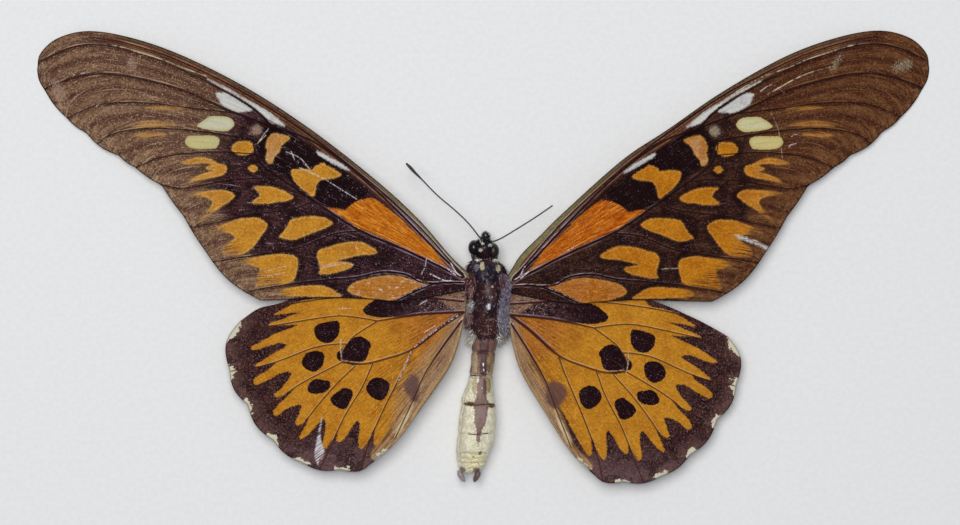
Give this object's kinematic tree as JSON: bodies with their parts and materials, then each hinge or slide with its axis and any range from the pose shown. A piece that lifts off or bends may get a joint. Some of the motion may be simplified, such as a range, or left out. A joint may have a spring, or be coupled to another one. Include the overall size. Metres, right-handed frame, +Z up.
{
  "type": "spread butterfly specimen",
  "caption": "Dried giant swallowtail butterfly with spread, gently arched patterned wings, a cream abdomen and folded legs, lying on its underside.",
  "frame": {"origin": "on the surface the specimen lies on, under the middle of its bounding box", "axes": "+X along the wingspan towards the butterfly's right wing, +Y towards the head, +Z up out of its back"},
  "size_m": [0.2102, 0.1065, 0.0096],
  "materials": {
    "forewing_scales": "dry membrane covered in dull overlapping scales, purple-black to brown with ochre marks",
    "hindwing_scales": "dry membrane covered in dull overlapping scales, ochre with black spots and a dark border",
    "thorax_hair": "dark shell under short matted hair",
    "abdomen_scales": "dry soft rings covered in flat cream scales, with a brown stripe along the back",
    "head_hair": "dark shell under short black hair with cream tufts",
    "eye_lens": "smooth black, glossy",
    "tegula_scales": "long red-brown scales",
    "clasper_shell": "thin horny shell, pale brown",
    "leg_shell": "thin dark brown horny tube",
    "antenna_shell": "thin black horny tube"
  },
  "bodies": {
    "root": {"forewing_left": "forewing_scales", "forewing_right": "forewing_scales", "hindwing_left": "hindwing_scales", "hindwing_right": "hindwing_scales", "thorax": "thorax_hair", "abdomen": "abdomen_scales", "head": "head_hair", "eye_left": "eye_lens", "eye_right": "eye_lens", "palp_left": "head_hair", "palp_right": "head_hair", "proboscis": "leg_shell", "antenna_left": "antenna_shell", "antenna_right": "antenna_shell", "tegula_left": "tegula_scales", "tegula_right": "tegula_scales", "clasper_left": "clasper_shell", "clasper_right": "clasper_shell", "foreleg_left": "leg_shell", "foreleg_right": "leg_shell", "midleg_left": "leg_shell", "midleg_right": "leg_shell", "hindleg_left": "leg_shell", "hindleg_right": "leg_shell"}
  },
  "joints": []
}
